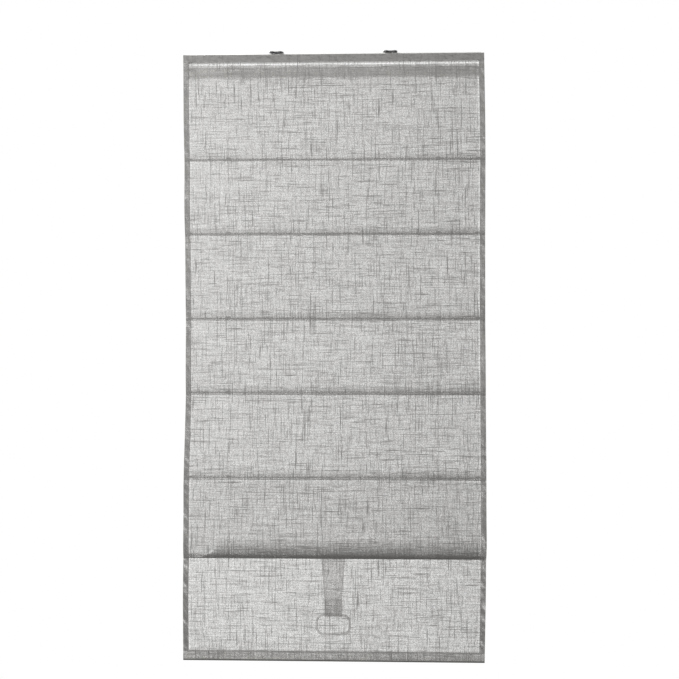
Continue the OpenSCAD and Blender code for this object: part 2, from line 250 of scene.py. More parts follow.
class EffectGroups:
    """Builds the surface effects that several finishes share, each once."""

    SLUB = (ThreadRun(740.0, 12.5, 0.57, 0.70), ThreadRun(750.0, 12.0, 0.57, 0.72))
    HATCH = (ThreadRun(1010.0, 12.0, 0.40, 0.64, 0.26), ThreadRun(990.0, 9.0, 0.40, 0.64, 0.42))
    GRAIN = (ThreadRun(520.0, 360.0), ThreadRun(500.0, 360.0))
    KNIT = 7225.0

    @staticmethod
    def _open(name: str, outputs: Sequence[str]) -> tuple[NodeKit, Socket, bpy.types.Node]:
        """Starts a group that takes a coordinate.

        Args:
            name: Name of the group.
            outputs: Names of its value outputs.

        Returns:
            Node kit of the group, its coordinate socket and its output node.
        """
        tree = bpy.data.node_groups.new(name, "ShaderNodeTree")
        tree.interface.new_socket(name="Vector", in_out="INPUT", socket_type="NodeSocketVector")
        for output in outputs:
            tree.interface.new_socket(name=output, in_out="OUTPUT", socket_type="NodeSocketFloat")
        start = tree.nodes.new("NodeGroupInput")
        end = tree.nodes.new("NodeGroupOutput")
        return NodeKit(tree), start.outputs["Vector"], end

    @cached_property
    def weave(self) -> bpy.types.NodeTree:
        """Builds the plain weave with slubs, read on a coordinate in metres.

        Returns:
            Group with Slub, Cloud, Thread and Height outputs.
        """
        kit, uv, end = self._open("plain_weave", ("Slub", "Cloud", "Thread", "Height"))
        split = kit.add("SeparateXYZ", {0: uv})
        u, v = split.outputs[0], split.outputs[1]

        def crossed(runs: tuple[ThreadRun, ThreadRun], clamped: bool = False) -> Socket:
            """Adds up how strongly the warp and the weft threads show."""
            warp, weft = self._threads(kit, u, v, runs[0]), self._threads(kit, v, u, runs[1])
            return kit.math("ADD", warp, weft, clamped)

        slub, hatch, grain = crossed(self.SLUB, True), crossed(self.HATCH), crossed(self.GRAIN)
        cloud = kit.noise(uv, (7.0, 5.0, 1.0))
        across = kit.math("SINE", kit.math("MULTIPLY", u, self.KNIT))
        down = kit.math("SINE", kit.math("MULTIPLY", v, self.KNIT))
        knit = kit.span(kit.math("MULTIPLY", across, down), -1.0, 1.0)
        mix = kit.math("ADD", hatch, kit.span(grain, 0.82, 1.18, 0.0, 0.74))
        thread = kit.math("ADD", mix, kit.span(knit, 0.0, 1.0, -0.52, 0.28), True)
        height = kit.math("ADD", kit.math("MULTIPLY", knit, 0.5), kit.math("MULTIPLY", slub, 0.8))
        kit.feed(end, Slub=slub, Cloud=cloud, Thread=thread, Height=height)
        return kit.tree

    @staticmethod
    def _threads(kit: NodeKit, across: Socket, along: Socket, run: ThreadRun) -> Socket:
        """Gives every thread of one direction its own thickness along its run, and shows the thicker ones.

        Args:
            kit: Node kit of the group.
            across: Coordinate across the threads.
            along: Coordinate along the threads.
            run: The threads.

        Returns:
            How strongly the thread shows.
        """
        number = kit.math("FLOOR", kit.math("MULTIPLY", across, run.count))
        at = kit.add("CombineXYZ", {0: kit.math("MULTIPLY", number, 7.31),
                                    1: kit.math("MULTIPLY", along, run.change), 2: run.count * 0.01})
        thickness = kit.noise(at.outputs[0], (1.0, 1.0, 1.0), 2.0, 0.6)
        return kit.span(thickness, run.thin, run.thick, 0.0, run.strength)

    @cached_property
    def handling(self) -> bpy.types.NodeTree:
        """Builds the faint unevenness and scuffs of a handled surface, read on a coordinate in metres.

        Returns:
            Group with Mottle, Scuff and Height outputs.
        """
        kit, at, end = self._open("handling_marks", ("Mottle", "Scuff", "Height"))
        mottle = kit.noise(at, (60.0, 60.0, 60.0), 3.0, 0.55)
        scuff = kit.span(kit.noise(at, (25.0, 400.0, 400.0), 3.0, 0.6), 0.58, 0.75)
        height = kit.noise(at, (1800.0, 1800.0, 1800.0))
        kit.feed(end, Mottle=mottle, Scuff=scuff, Height=height)
        return kit.tree


EFFECTS = EffectGroups()


def shade(colour: Colour, factor: float) -> tuple[float, float, float, float]:
    """Darkens or lightens a linear colour by a factor, and gives it full alpha."""
    return (*(min(channel * factor, 1.0) for channel in colour), 1.0)


def start_material(name: str) -> tuple[bpy.types.Material, NodeKit, bpy.types.Node]:
    """Starts a material with one shader.

    Args:
        name: Name of the material.

    Returns:
        Material, its node kit and its shader.
    """
    material = bpy.data.materials.new(name)
    material.use_nodes = True
    shader = next(n for n in material.node_tree.nodes if n.type == "BSDF_PRINCIPLED")
    return material, NodeKit(material.node_tree), shader


@dataclass(frozen=True)
class WovenFinish:
    """A woven cloth whose open weave lets part of the light through."""

    name: str
    colour: Colour
    cover: float
    slub_cover: float = 0.46
    thread_cover: float = 0.46
    slub_dark: float = 0.62
    thread_tone: float = 0.10
    bump: float = 0.25
    scale: float = 1.0
    fold_cover: float = 0.42
    fold_dark: float = 0.55

    def make(self) -> bpy.types.Material:
        """Builds the material on the piece's UV map, which is in metres.

        Returns:
            The material.
        """
        material, kit, shader = start_material(self.name)
        uv = kit.add("UVMap", uv_map="cloth").outputs[0]
        at = kit.scaled(uv, (self.scale, self.scale, 1.0))
        weave = kit.add("Group", {0: at}, node_tree=EFFECTS.weave)
        slub, cloud, thread, height = (weave.outputs[i] for i in range(4))
        tone = self.thread_tone
        base = kit.blend(thread, shade(self.colour, 1.0 + tone), shade(self.colour, 1.0 - tone))
        base = kit.blend(kit.math("MULTIPLY", cloud, 0.2), base, shade(self.colour, 1.25))
        base = kit.blend(slub, base, shade(self.colour, self.slub_dark))
        # Painted shade on the panels, and the extra density of hems and strap edges, darken the colour here;
        # painted highlights below 0 leave it as it is.
        fold = kit.add("Attribute", attribute_name="fold").outputs["Fac"]
        dark = kit.math("MULTIPLY", fold, self.fold_dark, True)
        bump = kit.add("Bump", {"Height": height, "Strength": self.bump, "Distance": 0.0004})
        kit.feed(shader, Base_Color=kit.blend(dark, base, shade(self.colour, 0.25)),
                 Roughness=kit.span(thread, 0.0, 1.0, 0.82, 0.95), Normal=bump.outputs[0])
        if self.cover < 1.0:
            open_weave = kit.math("MULTIPLY", kit.math("SUBTRACT", thread, 0.5), self.thread_cover)
            cover = kit.math("ADD", kit.math("MULTIPLY", slub, self.slub_cover), open_weave)
            # The same values hide more of the white background, and below 0 let more of it through as a
            # painted highlight.
            cover = kit.math("ADD", cover, kit.math("MULTIPLY", fold, self.fold_cover))
            kit.feed(shader, Alpha=kit.math("ADD", cover, self.cover, True))
        shader.inputs["Specular IOR Level"].default_value = 0.2
        shader.inputs["Sheen Weight"].default_value = 0.08
        return material


@dataclass(frozen=True)
class HardFinish:
    """A moulded, lacquered or bare metal surface with faint handling marks."""

    name: str
    colour: Colour
    rough: float
    metallic: float = 0.0
    scuff: float = 0.12
    bump: float = 0.05
    coat: float = 0.0
    cover: float = 1.0

    def make(self) -> bpy.types.Material:
        """Builds the material on object coordinates.

        Returns:
            The material.
        """
        material, kit, shader = start_material(self.name)
        at = kit.add("TexCoord").outputs["Object"]
        marks = kit.add("Group", {0: at}, node_tree=EFFECTS.handling)
        mottle, scuff, height = (marks.outputs[i] for i in range(3))
        base = kit.blend(mottle, shade(self.colour, 0.95), shade(self.colour, 1.05))
        worn = kit.math("MULTIPLY", scuff, self.scuff)
        rough = kit.span(mottle, 0.3, 0.7, self.rough - 0.04, self.rough + 0.04)
        bump = kit.add("Bump", {"Height": height, "Strength": self.bump, "Distance": 0.0002})
        kit.feed(shader, Base_Color=kit.blend(worn, base, shade(self.colour, 0.7)),
                 Roughness=kit.math("ADD", rough, kit.math("MULTIPLY", scuff, 0.12)), Normal=bump.outputs[0])
        if self.cover < 1.0:
            kit.feed(shader, Alpha=kit.span(mottle, 0.3, 0.7, self.cover - 0.03, self.cover + 0.03))
        shader.inputs["Metallic"].default_value = self.metallic
        shader.inputs["Coat Weight"].default_value = self.coat
        return material


class Finishes:
    """All finishes of the blind, each built once."""

    def __init__(self) -> None:
        """Builds every material."""
        self._weave_cloths()
        self._make_hard()

    def _weave_cloths(self) -> None:
        """Builds the finishes of cloth, thread, cord and tape."""
        self.cloth = WovenFinish("linen_cloth", (0.290, 0.284, 0.275), 0.34).make()
        self.hem = WovenFinish("linen_hem", (0.315, 0.309, 0.300), 0.58, slub_cover=0.2, thread_cover=0.3,
                               slub_dark=0.6, thread_tone=0.32).make()
        # The pocket cloth is painted more than twice as light as the face cloth, as painted light standing in
        # for light that reaches the pockets from behind.
        self.tuck = WovenFinish("linen_tuck", (0.66, 0.65, 0.635), 0.05, slub_cover=0.2,
                                thread_cover=0.2).make()
        self.strap = WovenFinish("strap_webbing", (0.46, 0.45, 0.44), 0.21, slub_cover=0.2, thread_cover=0.2,
                                 slub_dark=0.85, scale=0.8).make()
        self.thread = WovenFinish("sewing_thread", (0.46, 0.455, 0.44), 1.0, bump=0.4, scale=2.0).make()
        self.cord = WovenFinish("clear_nylon_cord", (0.86, 0.85, 0.83), 0.30, slub_dark=0.9, bump=0.5,
                                scale=1.6).make()
        self.tape = WovenFinish("hook_and_loop_tape", (0.74, 0.73, 0.71), 1.0, bump=0.9, scale=1.2).make()

    def _make_hard(self) -> None:
        """Builds the finishes of metal and plastic."""
        self.lacquer = HardFinish("white_lacquer", (0.78, 0.78, 0.77), 0.38, coat=0.1).make()
        self.tube = HardFinish("painted_tube", (0.74, 0.74, 0.73), 0.6, scuff=0.2).make()
        self.zinc = HardFinish("zinc_plate", (0.60, 0.60, 0.60), 0.34, metallic=1.0, scuff=0.25).make()
        self.steel = HardFinish("spring_steel", (0.36, 0.36, 0.37), 0.32, metallic=1.0, scuff=0.3).make()
        self.black = HardFinish("black_lever_plastic", (0.018, 0.018, 0.020), 0.5, bump=0.12).make()
        self.grey = HardFinish("dark_plug_plastic", (0.07, 0.07, 0.072), 0.5, bump=0.12).make()
        self.white = HardFinish("white_moulded_plastic", (0.72, 0.72, 0.70), 0.42, bump=0.1).make()
        self.clear = HardFinish("clear_moulded_plastic", (0.80, 0.80, 0.79), 0.2, cover=0.3).make()
        self.ring = HardFinish("frosted_ring_plastic", (0.56, 0.56, 0.55), 0.3, cover=0.42).make()
        self.rod = HardFinish("glass_fibre_rod", (0.86, 0.86, 0.83), 0.3, cover=0.22).make()


@dataclass
class ClothMesh:
    """Collects closed cloth shells, stitches and cords, and makes one object of them."""

    name: str
    materials: list[bpy.types.Material]
    thread_r: float = 0.00017
    smooth_angle: float = 40.0
    points: list[np.ndarray] = field(default_factory=list)
    faces: list[tuple[Sequence[int], int, Path]] = field(default_factory=list)
    folds: list[np.ndarray] = field(default_factory=list)

    def _add(self, points: np.ndarray, fold: np.ndarray | float = 0.0) -> int:
        """Adds points with their painted light and shade and extra density.

        Args:
            points: Points to add.
            fold: Value of painted light and shade and of extra density for each point, or for all.

        Returns:
            Number of the first of them.
        """
        first = sum(len(p) for p in self.points)
        self.points.append(points)
        self.folds.append(np.broadcast_to(fold, len(points)))
        return first

    def _face(self, ids: Sequence[int], material: int, uv: Path) -> None:
        """Adds a face over numbered points, with the number of its material and its cloth coordinates."""
        self.faces.append((ids, material, uv))

    def shell(self, grid: Grid, uv: Grid, thickness: float, material: int = 0, shift: float = 0.0,
              fold: Grid | None = None) -> None:
        """Adds a closed shell round a grid of points.

        Args:
            grid: Points of the middle surface, rows by columns by 3, rows downwards and columns to the right.
            uv: Cloth coordinates in metres of the same points.
            thickness: Thickness of the shell.
            material: Number of its material.
            shift: Distance that the middle surface is moved to the back.
            fold: Painted light and shade and extra density at each point, 0 where the cloth hangs flat.
        """
        rows, cols = grid.shape[:2]
        normal = np.cross(np.gradient(grid, axis=1), np.gradient(grid, axis=0))
        normal /= np.maximum(np.linalg.norm(normal, axis=2, keepdims=True), 1e-12)
        count, light_shade_and_density_values = rows * cols, 0.0 if fold is None else fold.reshape(-1)
        base = self._add((grid + normal * (shift - thickness / 2)).reshape(-1, 3), light_shade_and_density_values)
        self._add((grid + normal * (shift + thickness / 2)).reshape(-1, 3), light_shade_and_density_values)
        at = uv.reshape(-1, 2)

        def put(*ids: int) -> None:
            """Adds a face over points given by their number in the shell."""
            self._face([base + i for i in ids], material, [tuple(at[i % count]) for i in ids])

        for r in range(rows - 1):
            for c in range(cols - 1):
                a, e = r * cols + c, (r + 1) * cols + c
                put(a, e, e + 1, a + 1)
                put(count + a, count + a + 1, count + e + 1, count + e)
        ids = np.arange(count).reshape(rows, cols)
        border = np.concatenate([ids[0], ids[1:, -1], ids[-1, -2::-1], ids[-2::-1, 0]]).tolist()
        for a, b in zip(border, border[1:]):
            put(a, b, count + b, count + a)

    def tube(self, rings: Sequence[Sequence[Vector]], runs: Sequence[float], radius: float) -> None:
        """Adds a closed round tube.

        Args:
            rings: Points of every ring along the tube.
            runs: Length of the tube up to every ring.
            radius: Radius of the tube.
        """
        base = self._add(np.array([list(point) for ring in rings for point in ring]))
        sides = len(rings[0])
        arc = 2 * math.pi * radius / sides
        for i in range(len(rings) - 1):
            for s in range(sides):
                corners = ((s, i), (s + 1, i), (s + 1, i + 1), (s, i + 1))
                self._face([base + ring * sides + spot % sides for spot, ring in corners], 0,
                           [(arc * spot, runs[ring]) for spot, ring in corners])
        for i, order in ((0, range(sides - 1, -1, -1)), (len(rings) - 1, range(sides))):
            self._face([base + i * sides + s for s in order], 0, [(0.0, runs[i])] * sides)

    def stitch(self, start: Vector, end: Vector, out: Vector, material: int) -> None:
        """Adds one sewn stitch that dips into the cloth at both ends.

        Args:
            start: Where the thread comes up.
            end: Where it goes down.
            out: Direction away from the cloth.
            material: Number of its material.
        """
        r = self.thread_r
        side = (end - start).normalized().cross(out)
        points = []
        for share, lift in ((0.0, -1.2), (0.22, 0.6), (0.78, 0.6), (1.0, -1.2)):
            middle = start.lerp(end, share) + out * (lift * r)
            points += [list(middle + r * (a * side + b * out)) for a, b in ((1, 0), (0, 1), (-1, 0), (0, -1))]
        base = self._add(np.array(points))
        quads = [(4 * n + i, 4 * n + (i + 1) % 4, 4 * n + 4 + (i + 1) % 4, 4 * n + 4 + i)
                 for n in range(3) for i in range(4)]
        for ids in [(3, 2, 1, 0), *quads, (12, 13, 14, 15)]:
            self._face([base + k for k in ids], material, [(0.0002 * (k % 4), 0.001 * (k // 4)) for k in ids])

    def row(self, spots: Sequence[Vector], out: Vector, material: int) -> None:
        """Adds a row of stitches on spots one stitch length apart, on the side that out points to."""
        for a, b in zip(spots, spots[1:]):
            self.stitch(a, a.lerp(b, 0.8), out, material)

    def make(self) -> bpy.types.Object:
        """Makes the object.

        Returns:
            The object, linked to the scene.
        """
        mesh = bpy.data.meshes.new(self.name)
        faces, marks, uvs = zip(*self.faces)
        mesh.from_pydata(np.concatenate(self.points).tolist(), [], faces)
        layer = mesh.uv_layers.new(name="cloth")
        layer.data.foreach_set("uv", np.array([p for uv in uvs for p in uv], float).ravel())
        for material in self.materials:
            mesh.materials.append(material)
        mesh.polygons.foreach_set("material_index", marks)
        light_shade_and_density_values = mesh.attributes.new("fold", "FLOAT", "POINT")
        light_shade_and_density_values.data.foreach_set("value", np.concatenate(self.folds).astype(np.float32))
        mesh.update()
        piece = bpy.data.objects.new(self.name, mesh)
        bpy.context.scene.collection.objects.link(piece)
        pick(piece)
        bpy.ops.object.shade_smooth_by_angle(angle=math.radians(self.smooth_angle))
        return piece

    def fit(self, body: str, node: str, slot: str) -> bpy.types.Object:
        """Makes the object and puts it in a constructed piece's place.

        Args:
            body: Moving group that it rides on.
            node: Constructed piece that it stands for.
            slot: Material slot of the record; not used.

        Returns:
            The object.
        """
        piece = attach(self.make(), body)
        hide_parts(node)
        LOG.info("built %s", piece.name)
        return piece


class Hang:
    """How the real cloth hangs: slightly bowed, uneven and rippled, with its light and shade painted in, most
    at its seams.

    A painted value of 0 is cloth that hangs flat; more is painted darker and denser, as painted shade, and
    less lets more of the white background through, as a painted highlight.
    """

    # Drift of the left and right edges at shares of the cloth's fall
    FALL = (0.0, 0.10, 0.18, 0.25, 0.40, 0.56, 0.64, 0.71, 0.80, 0.90, 1.0)
    LEFT = (0.0, 0.0016, 0.0034, 0.0036, 0.0073, 0.0072, 0.0044, 0.0004, 0.0008, -0.0006, 0.0)
    RIGHT = (0.0, 0.0024, 0.0035, 0.0027, 0.0025, 0.0043, 0.0050, 0.0060, 0.0058, 0.0040, 0.0012)
    # Painted highlight (values below 0) and then painted shade (values above 0) at distances under the top
    # hem
    UNDER_HEM = (0.0, 0.0015, 0.004, 0.0065, 0.0095, 0.015, 0.022, 0.030, 0.040, 0.080)
    UNDER_HEM_GATHER = (-0.5, -0.95, -0.95, -0.75, 0.15, 0.36, 0.18, 0.0, 0.12, 0.0)
    # Width of the painted highlight line beside each side hem
    HEM_LINE = 0.0045
    # Number that stands for the skirt, after the six panels
    SKIRT = 7

    @staticmethod
    def fall(z: float | Grid) -> float | Grid:
        """Gives the share of the cloth's fall that lies above a height."""
        return (SIZES.top - z) / (SIZES.top - SIZES.bottom)

    @classmethod
    def bow(cls, x: float, z: float) -> float:
        """Gives the sideways drift of the cloth at a place along the width and a height."""
        left, right = (float(np.interp(cls.fall(z), cls.FALL, side)) for side in (cls.LEFT, cls.RIGHT))
        return left + (right - left) * (x / SIZES.width + 0.5)

    @staticmethod
    def ripple(x: float, z: float) -> float:
        """Gives the slight unevenness of the cloth in depth at a place along the width and a height."""
        broad, fine = Vector((x * 5.0, z * 3.0, 3.7)), Vector((x * 16.0, z * 9.0, 8.1))
        return 0.0011 * noise.noise(broad) + 0.0004 * noise.noise(fine)

    @classmethod
    def depth(cls, x: float, z: float, share: float, belly: float, skew: float) -> float:
        """Gives the depth of a panel or of the skirt, which bellies to the room and ripples.

        Args:
            x: Place along the width.
            z: Height.
            share: Share of the panel's fall that lies above that height.
            belly: Greatest depth of the belly.
            skew: How low the belly hangs, 1 in the middle.

        Returns:
            Shift in depth, none at the panel's edges.
        """
        share = clamp(share)
        free = min(1.0, 6.0 * share, 6.0 * (1.0 - share))
        return free * cls.ripple(x, z) - belly * math.sin(math.pi * share ** skew)

    @staticmethod
    def slack(x: float) -> float:
        """Gives the share of its full depth that the slack belly has, less at its left end."""
        t = clamp((x + 0.385) / 0.085)
        return 0.45 + 0.55 * t * t * (3.0 - 2.0 * t)

    @staticmethod
    def crease(rise: float) -> float:
        """Gives where the painted shade of the slack belly starts, on a curve that climbs from its left end.
        """
        return -0.388 + 0.073 * (max(rise, 0.0) / 0.022) ** 0.36

    @classmethod
    def gather(cls, k: int, x: float, rise: float, drop: float) -> float:
        """Gives the painted light and shade of a panel.

        Args:
            k: Number of the seam at the lower edge of the panel, 7 for the skirt.
            x: Place along the width.
            rise: Height above that seam.
            drop: Distance under the panel's upper edge.

        Returns:
            Painted light and shade, 0 where the cloth hangs flat.
        """
        inner = SIZES.half - SIZES.side_hem
        # Painted highlight in a thin line beside each side hem, stronger on the right of the upper panels.
        hem_line_highlight = 0.6 if x > 0.0 and k < 5 else 0.22
        # Painted highlight just under each panel's upper edge, and painted shade that grows towards the
        # right.
        base_light_and_shade = -0.10 * peak(drop, 0.005) + 0.20 * (x / SIZES.width + 0.5) * (abs(x) < inner)
        base_light_and_shade -= hem_line_highlight * (inner - cls.HEM_LINE < abs(x) < inner)
        # The skirt is painted a little lighter all over, as a painted highlight.
        if k == cls.SKIRT:
            return base_light_and_shade - 0.13
        uneven = 1.0 + 0.25 * noise.noise(Vector((x * 9.0, k * 4.3, 0.0)))
        if k == 6:
            return base_light_and_shade + cls._at_slack(x, rise, drop, uneven)
        if k == 1:
            # Painted highlight and then a painted shade band just under the top hem.
            base_light_and_shade += float(np.interp(drop, cls.UNDER_HEM, cls.UNDER_HEM_GATHER))
        return base_light_and_shade + uneven * cls._at_pocket(k, x, rise)

    @classmethod
    def _at_slack(cls, x: float, rise: float, drop: float, uneven: float) -> float:
        """Gives the painted shade of the slack belly over the lowest seam, with a painted highlight at its
        left end.

        Args:
            x: Place along the width.
            rise: Height above the seam.
            drop: Distance under the panel's upper edge.
            uneven: Factor that varies along the seam.

        Returns:
            Painted light and shade that is added to that of the rest of the panel.
        """
        seam_shade_line = peak(rise, 0.008)
        past = x - cls.crease(rise)
        full = clamp(past / (0.003 + 0.5 * rise) + 0.5) * clamp((0.391 - x) / 0.012)
        # Painted shade that deepens towards the seam, where the belly turns under and faces down, with a band
        # near the panel's top.
        belly = 0.02 + 0.20 * peak(rise, 0.2) + 0.14 * peak(drop - 0.019, 0.014)
        # Painted highlight at the left end of the belly, where it curls.
        curl_highlight = -0.55 * peak(past + 0.007, 0.006) * clamp((0.034 - rise) / 0.02)
        # Painted shade line along the seam, left of where the belly's shade starts.
        line = 1.2 * (1.0 - full) * peak(rise, 0.0045) * (x < 0.0)
        return belly + uneven * full * (0.72 * peak(rise, 0.056) + 0.3 * seam_shade_line) + curl_highlight + 0.25 * seam_shade_line + line

    @staticmethod
    def _at_pocket(k: int, x: float, rise: float) -> float:
        """Gives the painted shade above the pocket of a rod.

        Args:
            k: Number of the seam.
            x: Place along the width.
            rise: Height above the seam.

        Returns:
            Painted shade that is added to that of the rest of the panel.
        """
        share = x / SIZES.width + 0.5
        wave = rise + 0.003 * noise.noise(Vector((x * 14.0, k * 2.9, 5.0)))
        # Painted shade that deepens down to the seam, with a painted shade line at the seam that is stronger
        # on the right of the fourth seam.
        ramp = clamp(1.0 - wave / (0.019 + 0.0015 * k)) ** 0.8
        seam_shade_line = clamp(1.5 - rise / 0.0026) * (1.0 + 2.0 * share ** 4 * (k == 4))
        # Painted shade over the seam, stronger towards the right and weaker in the middle of the first seam.
        pull = 0.6 + 0.8 * share
        if k == 1:
            pull *= 0.1 + 0.9 * min(1.0, abs(share - 0.5) / 0.32) ** 2
        return pull * 0.52 * ramp * (1.0 - 0.9 * peak(rise - 0.0056, 0.0045)) + 0.24 * seam_shade_line


@dataclass
class FaceCloth:
    """The cloth of the blind: top hem, panels, rod pockets and skirt."""

    finishes: Finishes
    columns: int = 161
    row: float = 0.005
    upper_rows: tuple[float, ...] = (0.0, 0.0015, 0.004, 0.0065, 0.0095)
    upper_zone: float = 0.013
    seam_rows: int = 18
    seam_zone: float = 0.033
    first_skew: float = 1.6
    panel_skew: float = 1.7
    slack_skew: float = 3.4
    tight_from: float = 0.62
    tight_over: float = 0.2
    stitch: float = 0.004
    stitch_in: float = 0.0125
    seam_stitch: float = 0.0014
    seam_half: float = 0.384
    slack_start: float = -0.312
    hem_half: float = 0.396
    top_run: float = 0.03
    bar_depth: float = 0.0042
    hem_turn: float = 0.035
    fine_left: float = -0.28
    fine_columns: int = 81
    skirt_belly: float = 0.0025
    skirt_skew: float = 0.7

    def build(self) -> None:
        """Builds every piece of cloth from the top down."""
        self._top_hem()
        for k in range(1, 7):
            self._panel(k)
        for k in range(1, 7):
            self._pocket(k)
        self._skirt()

    def _columns(self) -> np.ndarray:
        """Gives the places of the columns along the width."""
        return np.linspace(-SIZES.half, SIZES.half, self.columns)

    def _mesh(self, name: str) -> ClothMesh:
        """Starts a piece of cloth with its cloth, hem and thread."""
        return ClothMesh(name, [self.finishes.cloth, self.finishes.hem, self.finishes.thread])

    @staticmethod
    def _grid(path: Path, xs: np.ndarray, start: float, depth: Depth = no_depth) -> tuple[Grid, Grid]:
        """Carries a path along the width.

        Args:
            path: Depth and height of each row.
            xs: Places along the width.
            start: Cloth coordinate of the first row.
            depth: Extra depth for a place along the width and a height.

        Returns:
            Points and cloth coordinates.
        """
        grid = np.array([[(x + Hang.bow(x, z), y + depth(x, z), z) for x in xs] for y, z in path])
        uv = np.array([[(x, start - run) for x in xs] for run in runs_of(path)])
        return grid, uv

    def _side_hems(self, mesh: ClothMesh, path: Path, start: float, depth: Depth) -> None:
        """Adds the turned hems along both sides of a panel, with painted pucker shade that is strongest at
        the lower left.

        Args:
            mesh: Cloth to add them to.
            path: Depth and height of each row.
            start: Cloth coordinate of the first row.
            depth: Extra depth of the panel.
        """
        for low in (-SIZES.half, SIZES.half - SIZES.side_hem):
            left = low < 0.0
            grid, uv = self._grid(path, np.linspace(low, low + SIZES.side_hem, 5), start, depth)
            uv[:, :, 0] += 0.37
            tight = np.clip((Hang.fall(grid[:, :, 2]) - self.tight_from) / self.tight_over, 0.0, 1.0)
            uneven = [[noise.noise(Vector((u * 60.0, v * 85.0 + u * 90.0, low * 30.0))) for u, v in line]
                      for line in uv]
            strength = 1.3 + 2.2 * tight if left else 1.1 + 0.5 * tight
            # Painted shade of small puckers in uneven streaks, darkest towards the lower left, along the
            # inner edge and in the lowest row.
            pucker_shade = 0.02 + np.array(uneven) * strength + 0.7 * tight * left
            pucker_shade[:, 4 if left else 0] += 0.5
            pucker_shade[-1] += 0.9
            mesh.shell(grid, uv, 2 * SIZES.cloth - 0.0001, 1, 1.5 * SIZES.cloth + 0.00003, pucker_shade)

    @staticmethod
    def _sew(mesh: ClothMesh, spots: Path, depth: Depth) -> None:
        """Sews a row of stitches on the front of the cloth.

        Args:
            mesh: Cloth to sew, whose third material is the thread.
            spots: Place along the width and height of each stitch.
            depth: Depth of the cloth against the flat sheet at such a place.
        """
        front = SIZES.sheet_y - SIZES.cloth / 2
        mesh.row([Vector((x + Hang.bow(x, z), front + depth(x, z), z)) for x, z in spots],
                 Vector((0.0, -1.0, 0.0)), 2)

    def _sew_across(self, mesh: ClothMesh, z: float, start: float, end: float,
                    depth: Depth = no_depth) -> None:
        """Sews a row of stitches along the width at a height, from start to end."""
        self._sew(mesh, [(x, z) for x in np.arange(start, end + 0.0001, self.stitch)], depth)

    def _sew_sides(self, mesh: ClothMesh, top: float, low: float, depth: Depth) -> None:
        """Sews both side hems of a piece of cloth, from its top down to the height low."""
        for x in (-SIZES.half + self.stitch_in, SIZES.half - self.stitch_in):
            self._sew(mesh, [(x, z) for z in np.arange(top - 0.003, low, -self.stitch)], depth)

    def _top_hem(self) -> None:
        """Builds the folded top hem, which stays on the rail."""
        y, t = SIZES.sheet_y, SIZES.cloth
        path = [(y, SIZES.hem_z + s * (SIZES.top_hem - t) / 6) for s in range(7)]
        path += [(y + t / 2 - t / 2 * math.cos(a), SIZES.top - t + 0.7 * t * math.sin(a))
                 for a in (0.8, 1.57, 2.34)]
        path += [(y + t, SIZES.top - t - s * (SIZES.top_hem - 2.4 * t) / 6) for s in range(7)]
        mesh = ClothMesh("cloth_top_hem", [self.finishes.hem, self.finishes.hem, self.finishes.thread])
        fold = np.array([[0.9 + 0.9 * noise.noise(Vector((x * 170.0, r * 1.7, 2.3))) for x in self._columns()]
                         for r in range(len(path))])
        mesh.shell(*self._grid(path[::-1], self._columns(), self.top_run), t - 0.00006, fold=fold)
        for z in (SIZES.hem_z + 0.0025, SIZES.top - 0.0022):
            self._sew_across(mesh, z, -self.hem_half, self.hem_half)
        piece = mesh.fit(Body.HEAD.value, "face_cloth", "cloth")

    def _panel(self, k: int) -> None:
        """Builds one panel between two seams.

        Args:
            k: Number of the seam at its lower edge.
        """
        z0, z1 = SIZES.seam(k - 1), SIZES.seam(k)
        fall, last = z0 - z1, k == 6
        rows = max(int(fall / self.row), 8)
        out = SIZES.slack if last else SIZES.belly
        skew = {1: self.first_skew, 6: self.slack_skew}.get(k, self.panel_skew)
        drops = [*self.upper_rows, *np.linspace(self.upper_zone, fall - self.seam_zone - 0.003, rows - 2)]
        drops += [*np.linspace(fall - self.seam_zone, fall, self.seam_rows)]
        path = [(SIZES.sheet_y, z0 - drop) for drop in drops]

        def depth(x: float, z: float) -> float:
            """Gives the depth of the panel at a height."""
            return Hang.depth(x, z, (z0 - z) / fall, out * (Hang.slack(x) if last else 1.0), skew)

        mesh = self._mesh(f"cloth_panel_{k}")
        xs = self._columns()
        if last:
            finer = np.linspace(-SIZES.half, self.fine_left, self.fine_columns)[:-1]
            xs = np.concatenate([finer, xs[xs > self.fine_left - 0.0001]])
        fold = np.array([[Hang.gather(k, x, z - z1, z0 - z) for x in xs] for _, z in path])
        mesh.shell(*self._grid(path, xs, z0, depth), SIZES.cloth, fold=fold)
        self._side_hems(mesh, path, z0, depth)
        start = self.slack_start if last else -self.seam_half
        self._sew_across(mesh, z1 + self.seam_stitch, start, self.seam_half, depth)
        self._sew_sides(mesh, z0, z1 + self.stitch, depth)
        piece = mesh.fit(Body.HEAD.value if k == 1 else f"rod_line_{k - 1}", "face_cloth", "cloth")
        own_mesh(piece)

    def _pocket(self, k: int) -> None:
        """Builds the sewn pocket of a rod.

        Args:
            k: Number of the seam.
        """
        z, t, r = SIZES.seam(k), SIZES.cloth, SIZES.pocket_r
        start = np.array((SIZES.sheet_y + t * 0.9, z - 0.0002))
        rod = np.array((SIZES.rod_y, z + SIZES.rod_rise))
        reach = math.dist(start, rod)
        along = (rod - start) / reach
        over = np.array((-along[1], along[0]))
        lap = t / 2 + 0.00002
        turn = math.asin(lap / r)
        flat = [start + along * reach * s / 6 for s in range(6)]
        sweep = [math.pi - turn - (2 * math.pi - 2 * turn) * s / 20 for s in range(21)]
        path = [spot + over * lap for spot in flat]
        path += [rod + r * (along * math.cos(a) + over * math.sin(a)) for a in sweep]
        path += [spot - over * lap for spot in flat[::-1]]
